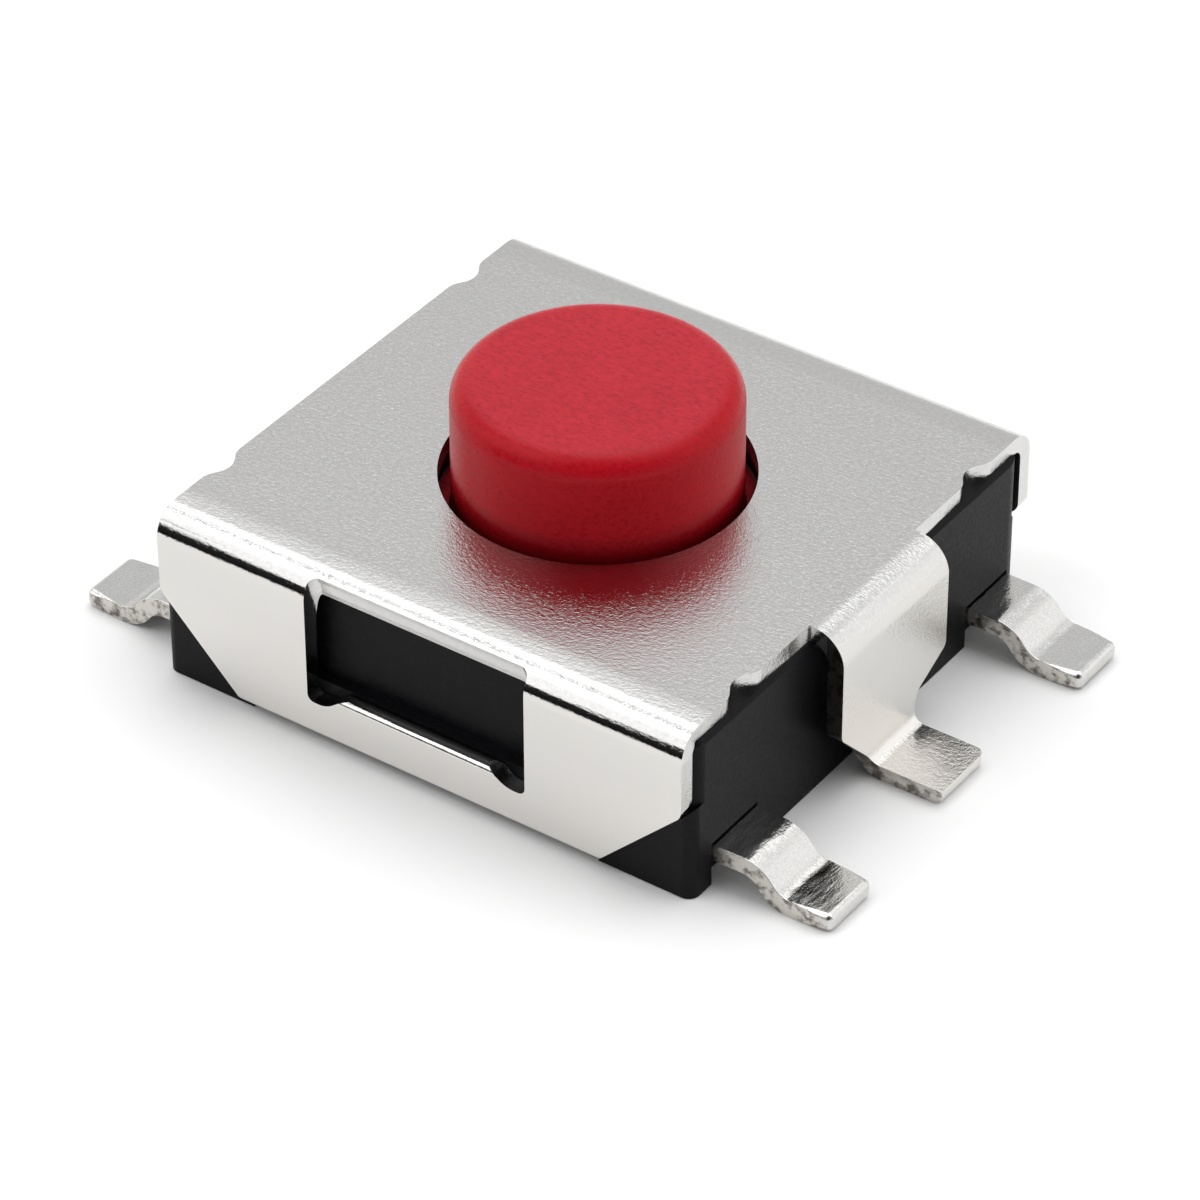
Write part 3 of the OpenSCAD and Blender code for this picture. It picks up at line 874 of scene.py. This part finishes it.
def housing_block(h, c, wall_y, low, high):
    """The moulding with its round shoulders, bevelled ends and corner feet, before anything is cut."""
    half_x = high.x
    piece = round_prism(half_x, wall_y, low.z, high.z + REACH, h.corner, h.back_corner, "moulded_housing")
    bm = bmesh.new()
    _, corners = flat_face(bm, [(-half_x - REACH, y, z) for y, z in (
        (-wall_y, low.z - REACH), (-wall_y, high.z), (wall_y, high.z), (wall_y, low.z - REACH),
    )])
    round_verts(bm, corners[1:3], c.bend, segments=10)
    pull(bm, list(bm.faces), (2 * half_x + 2 * REACH, 0, 0))
    ends = [
        (-half_x, low.z - REACH), (-half_x, high.z - h.bevel), (h.bevel - half_x, high.z),
        (half_x - h.bevel, high.z), (half_x, high.z - h.bevel), (half_x, low.z - REACH),
    ]
    combine(piece, [to_object(bm, "shoulders"), along_y(wall_y + REACH, ends, "ends")], "INTERSECT")
    foot_x = -COVER_LOW.x * MM - c.bevel - c.flange_bottom + h.foot_gap
    rise = half_x - foot_x
    feet = []
    for side in (-1, 1):
        outline = [(side * (foot_x + low.z), low.z), (side * half_x, low.z), (side * half_x, rise)]
        foot = along_y(high.y, outline, "corner_feet")
        back_corner = h.back_corner + high.y - wall_y
        plan = round_prism(half_x, high.y, low.z - REACH, high.z, h.corner, back_corner, "plan")
        combine(foot, [plan], "INTERSECT")
        feet.append(foot)
    combine(piece, feet, "UNION")
    return piece


class SWITCH_OT_housing(bpy.types.Operator):
    """Builds the moulded housing with its pocket, window recesses and lead slots"""

    bl_idname = "switch.build_housing"
    bl_label = "Build housing"

    def execute(self, context):
        h = in_mm(context.scene.switch_housing)
        c = in_mm(context.scene.switch_cover)
        leads = in_mm(context.scene.switch_leads)
        low, high = box_mm(HOUSING_LOW, HOUSING_HIGH)
        wall_y = COVER_HIGH.y * MM - c.sheet - h.fit
        piece = housing_block(h, c, wall_y, low, high)
        shelf_top = leads.shelf + leads.thick
        bm = bmesh.new()
        rod(bm, h.pocket / 2, shelf_top, high.z + REACH)
        cutters = [to_object(bm, "pocket")]
        half_w = c.window / 2 + h.recess_side
        half_slot = leads.width / 2 + h.slot_gap
        for side in (-1, 1):
            near, far = sorted((side * (wall_y - h.recess_depth), side * (high.y + REACH)))
            bm = bmesh.new()
            block(bm, (-half_w, near, c.sill), (half_w, far, high.z + REACH))
            cutters.append(to_object(bm, "recess"))
            near, far = sorted((side * (high.x - h.slot_depth), side * (high.x + REACH)))
            for end in (-1, 1):
                middle = end * leads.pitch / 2
                bm = bmesh.new()
                far_corner = (far, middle + half_slot, shelf_top + h.slot_gap)
                block(bm, (near, middle - half_slot, -REACH), far_corner)
                cutters.append(to_object(bm, "slot"))
        combine(piece, cutters, "DIFFERENCE")
        tidy_mesh(piece)
        soften(piece, h.edge)
        finish = context.scene.switch_finish
        material = moulded_material(
            "housing_plastic", finish.black, finish.black_rough,
            grain_scale=26.0, depth=2.5e-6, light=1.6, gloss=0.1,
        )
        hand_over(piece, material, "base", "housing_plastic", "housing")
        return {"FINISHED"}


def gull_wing(bm, face, leads, side, end_x):
    """Bends one lead down from the end face of its strip to its foot."""
    turn = math.asin(leads.drop)
    run = math.cos(turn)
    middle_r = 2 * leads.bend + leads.thick
    ramp = (leads.shelf - middle_r * (1 - run)) / leads.drop
    y = face.calc_center_median().y
    axis = (0, side, 0)
    end = bend(bm, [face], (side * leads.shelf_end, y, leads.shelf - leads.bend), axis, turn, steps=10)
    end = pull(bm, end, (side * ramp * run, 0, -ramp * leads.drop))
    second_x = leads.shelf_end + middle_r * leads.drop + ramp * run
    centre = (side * second_x, y, leads.thick + leads.bend)
    end = bend(bm, end, centre, axis, -turn, steps=10)
    end = pull(bm, end, (side * (end_x - second_x), 0, 0))
    tip = [e for f in end for e in f.edges if abs(e.verts[0].co.z - e.verts[1].co.z) > leads.thick / 2]
    round_edges(bm, tip, leads.corner, segments=6)


def stamping(name, plan, leads, end_x, bumps):
    """A contact strip from its plan, with a lead bent down at each end and coined bumps on top."""
    bm = bmesh.new()
    face, _ = flat_face(bm, [(x, y, leads.shelf) for x, y in plan])
    pull(bm, [face], (0, 0, leads.thick))
    bmesh.ops.recalc_face_normals(bm, faces=bm.faces)
    for side in (-1, 1):
        root = next(
            f for f in bm.faces
            if f.normal.x * side > 0.9 and abs(f.calc_center_median().x * side - leads.shelf_end) < TINY
        )
        gull_wing(bm, root, leads, side, end_x)
    piece = to_object(bm, name)
    cylinders = []
    for x, y, radius, top in bumps:
        bm = bmesh.new()
        made = rod(bm, radius, leads.shelf + leads.thick / 2, top, segments=48)
        bmesh.ops.translate(bm, vec=(x, y, 0), verts=made)
        cylinders.append(to_object(bm, "bump"))
    combine(piece, cylinders, "UNION")
    tidy_mesh(piece)
    tip_x = end_x - leads.corner - TINY
    for level in (leads.thick, 0.0):
        round_some(piece, lambda point: abs(point.x) > tip_x and abs(point.z - level) < TINY, leads.tip)
    soften(piece, leads.edge)
    return piece


class SWITCH_OT_terminals(bpy.types.Operator):
    """Builds the two contact strips with their gull-wing leads, arms, pads and middle contact"""

    bl_idname = "switch.build_terminals"
    bl_label = "Build terminals"

    def execute(self, context):
        leads = in_mm(context.scene.switch_leads)
        end_x, half_w = RIM_HIGH.x * MM, leads.width / 2
        y, x = leads.pitch / 2, leads.shelf_end
        front, back = -y - half_w, -y + half_w
        arm_x, pad_y = leads.rim * math.cos(leads.pad_angle), leads.rim * math.sin(leads.pad_angle)
        half_arm, half_tongue = leads.arm / 2, leads.tongue / 2
        arm_end = pad_y + half_arm
        material = plating_material(context.scene.switch_finish)
        plan = [
            (-x, front), (x, front), (x, back), (arm_x + half_arm, back), (arm_x + half_arm, arm_end),
            (arm_x - half_arm, arm_end), (arm_x - half_arm, back), (-arm_x + half_arm, back),
            (-arm_x + half_arm, arm_end), (-arm_x - half_arm, arm_end), (-arm_x - half_arm, back), (-x, back),
        ]
        pads = [
            (side * arm_x, end * pad_y, leads.pad / 2, RIM_HIGH.z * MM) for side in (-1, 1) for end in (-1, 1)
        ]
        rim = stamping("rim_strip", plan, leads, end_x, pads)
        hand_over(rim, material, "base", "terminal_plating", "rim_terminal")
        plan = [
            (-x, -back), (-half_tongue, -back), (-half_tongue, -half_tongue), (half_tongue, -half_tongue),
            (half_tongue, -back), (x, -back), (x, -front), (-x, -front),
        ]
        contact = [(0, 0, leads.contact / 2, CENTRE_HIGH.z * MM)]
        centre = stamping("centre_strip", plan, leads, end_x, contact)
        hand_over(centre, material, "base", "terminal_plating", "centre_terminal")
        return {"FINISHED"}


def lathe(bm, axis_x=1e-6, steps=160):
    """Turns the outline of the faces once round the Z axis."""
    unused = [
        e for e in bm.edges
        if len(e.link_faces) > 1 or all(v.co.x < axis_x for v in e.verts)
    ]
    bmesh.ops.delete(bm, geom=list(bm.faces), context="FACES_ONLY")
    bmesh.ops.delete(bm, geom=unused, context="EDGES")
    bmesh.ops.spin(
        bm, geom=bm.verts[:] + bm.edges[:], cent=(0, 0, 0), axis=(0, 0, 1),
        angle=2 * math.pi, steps=steps, use_merge=True,
    )
    bmesh.ops.remove_doubles(bm, verts=bm.verts, dist=1e-5)


class SWITCH_OT_button(bpy.types.Operator):
    """Turns the button with its rounded cap, holding flange and stem"""

    bl_idname = "switch.build_button"
    bl_label = "Build button"

    def execute(self, context):
        b = in_mm(context.scene.switch_button)
        low, high = box_mm(BUTTON_LOW, BUTTON_HIGH)
        flange_r, radius, stem_r = high.x, b.diameter / 2, b.stem / 2
        bm = bmesh.new()
        _, corners = flat_face(bm, [(x, 0, z) for x, z in (
            (0, low.z), (stem_r, low.z), (stem_r, b.flange_bottom), (flange_r, b.flange_bottom),
            (flange_r, b.flange_top), (radius + b.groove, b.flange_top),
            (radius + b.groove, b.flange_top - b.groove_depth), (radius, b.flange_top - b.groove_depth),
            (radius, high.z), (0, high.z),
        )])
        round_verts(bm, corners[1:8], b.small_edge, segments=4)
        round_verts(bm, [corners[8]], b.edge, segments=14)
        lathe(bm)
        piece = to_object(bm, "push_button")
        piece.data.shade_smooth()
        finish = context.scene.switch_finish
        material = moulded_material(
            "button_plastic", finish.red, finish.red_rough,
            grain_scale=24.0, depth=3.2e-6, light=1.15, gloss=0.12, foot=BUTTON_SHADE_Z, painted_sheen=finish.worn_red,
        )
        hand_over(piece, material, "plunger", "button_plastic", "button")
        return {"FINISHED"}


class SWITCH_OT_dome(bpy.types.Operator):
    """Turns the thin snap dome"""

    bl_idname = "switch.build_dome"
    bl_label = "Build snap dome"

    def execute(self, context):
        b = in_mm(context.scene.switch_button)
        low, high = box_mm(DOME_LOW, DOME_HIGH)
        rise = high.z - low.z - b.dome_sheet
        inner = (high.x ** 2 + rise ** 2) / (2 * rise)
        centre_z = high.z - b.dome_sheet - inner
        half_angle = math.asin(high.x / (inner + b.dome_sheet))
        bm = bmesh.new()
        ends = [bm.verts.new((0, 0, high.z - b.dome_sheet)), bm.verts.new((0, 0, high.z))]
        edge = bmesh.ops.contextual_create(bm, geom=ends)["edges"]
        bmesh.ops.spin(
            bm, geom=ends + edge, cent=(0, 0, centre_z), axis=(0, 1, 0), angle=half_angle, steps=20,
        )
        lathe(bm)
        piece = to_object(bm, "snap_dome")
        piece.data.shade_smooth()
        material = sheet_material(context.scene.switch_finish)
        material.name = "dome_sheet"
        hand_over(piece, material, "base", "dome_sheet", "contact_dome")
        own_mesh(piece)
        return {"FINISHED"}


def place_camera(scene, s):
    """Camera at the photograph's angle."""
    back = Vector((
        math.sin(s.azimuth) * math.cos(s.elevation), -math.cos(s.azimuth) * math.cos(s.elevation),
        math.sin(s.elevation),
    ))
    right = Vector((math.cos(s.azimuth), math.sin(s.azimuth), 0))
    up = back.cross(right)
    turned_right = math.cos(s.roll) * right + math.sin(s.roll) * up
    turned_up = back.cross(turned_right)
    data = bpy.data.cameras.new("camera")
    data.sensor_width = SENSOR_WIDTH
    data.sensor_fit = "HORIZONTAL"
    data.lens = s.focal_pixels / FRAME_PIXELS * SENSOR_WIDTH
    data.clip_start = s.distance / MM / 10
    data.clip_end = 100 * s.distance / MM
    camera = bpy.data.objects.new("camera", data)
    scene.collection.objects.link(camera)
    turn = Matrix((turned_right, turned_up, back)).transposed().to_4x4()
    camera.matrix_world = Matrix.Translation(Vector(s.target) + back * (s.distance / MM)) @ turn
    scene.camera = camera


def light_studio(scene, strength):
    """Soft studio light: a pale dome, dim low down, with soft panels, a dark wall and a dark camera side."""
    world = bpy.data.worlds.new("studio")
    scene.world = world
    world.use_nodes = True
    tree = world.node_tree
    direction = add_node(tree, "ShaderNodeTexCoord").outputs["Generated"]
    parts = axes_of(tree, direction)
    ramp = add_node(tree, "ShaderNodeValToRGB", {"Fac": parts["Z"]})
    elements = ramp.color_ramp.elements
    while len(elements) < len(SKY):
        elements.new(0.5)
    for element, (position, grey) in zip(elements, SKY):
        element.position = position
        element.color = (grey, grey, grey, 1.0)
    level = ramp.outputs["Color"]

    def vectors(first, second, operation):
        return add_node(tree, "ShaderNodeVectorMath", {0: first, 1: second}, operation=operation).outputs

    def lobe(aim, inner, outer, power):
        towards = vectors(direction, aim, "DOT_PRODUCT")["Value"]
        return spread(tree, towards, outer, inner, 0.0, power)

    for panel in SOFT_PANELS:
        level = vectors(level, lobe(*panel), "ADD")["Vector"]
    wall = times(tree, spread(tree, parts["Z"], *WALL_Z), spread(tree, parts["Y"], *WALL_Y))
    aside = size_of(tree, plus(tree, parts["X"], WALL_X, "SUBTRACT"))
    wall = times(tree, wall, spread(tree, aside, *WALL_HALF))
    shadow = plus(tree, wall, lobe(*CAMERA_SIDE), "MAXIMUM")
    gap_slope, gap_half, gap_dark = PANEL_GAP
    slope = plus(tree, parts["Y"], parts["Z"], "DIVIDE")
    gap = plus(tree, size_of(tree, plus(tree, slope, gap_slope, "SUBTRACT")), gap_half, "LESS_THAN")
    shadow = plus(tree, shadow, times(tree, gap, gap_dark), "MAXIMUM")
    kept = spread(tree, shadow, 0.0, 1.0, 1.0, LEAST_LIGHT)
    level = vectors(level, kept, "MULTIPLY")["Vector"]
    background = tree.nodes["Background"]
    tree.links.new(level, background.inputs["Color"])
    background.inputs["Strength"].default_value = strength


class SWITCH_OT_stage(bpy.types.Operator):
    """Adds the camera, the pale floor and the studio's light"""

    bl_idname = "switch.build_stage"
    bl_label = "Build stage"

    def execute(self, context):
        scene = context.scene
        s = in_mm(scene.switch_stage)
        place_camera(scene, s)
        light_studio(scene, s.light)
        bm = bmesh.new()
        bmesh.ops.create_grid(bm, x_segments=1, y_segments=1, size=s.floor_size / 2)
        floor = to_object(bm, "floor")
        floor.data.transform(Matrix.Scale(1 / MM, 4))
        floor.data.materials.append(floor_material(scene.switch_finish))
        scene.view_settings.view_transform = "Standard"
        return {"FINISHED"}


OPERATORS = (
    SWITCH_OT_stage, SWITCH_OT_cover, SWITCH_OT_housing,
    SWITCH_OT_terminals, SWITCH_OT_dome, SWITCH_OT_button,
)


class SWITCH_PT_panel(bpy.types.Panel):
    """Lists the switch's operators and their sizes"""

    bl_idname = "SWITCH_PT_panel"
    bl_label = "Tactile Switch"
    bl_space_type = "VIEW_3D"
    bl_region_type = "UI"
    bl_category = "Switch"

    def draw(self, context):
        for operator in OPERATORS:
            self.layout.operator(operator.bl_idname)
        for group in GROUPS:
            settings = getattr(context.scene, group)
            column = self.layout.column(heading=type(settings).__name__)
            for name, prop in settings.bl_rna.properties.items():
                if not prop.is_readonly and name != "name":
                    column.prop(settings, name)


def register():
    """Registers the settings, the operators and the panel."""
    for group in GROUPS.values():
        bpy.utils.register_class(group)
    for operator in OPERATORS:
        bpy.utils.register_class(operator)
    bpy.utils.register_class(SWITCH_PT_panel)
    for name, group in GROUPS.items():
        setattr(bpy.types.Scene, name, bpy.props.PointerProperty(type=group))


def unregister():
    """Takes away all that register() added."""
    for name in GROUPS:
        delattr(bpy.types.Scene, name)
    bpy.utils.unregister_class(SWITCH_PT_panel)
    for operator in reversed(OPERATORS):
        bpy.utils.unregister_class(operator)
    for group in reversed(list(GROUPS.values())):
        bpy.utils.unregister_class(group)


def main():
    """Builds the stage and every piece."""
    register()
    bpy.ops.switch.build_stage()
    bpy.ops.switch.build_cover()
    bpy.ops.switch.build_housing()
    bpy.ops.switch.build_terminals()
    bpy.ops.switch.build_dome()
    bpy.ops.switch.build_button()


if __name__ == "__main__":
    main()
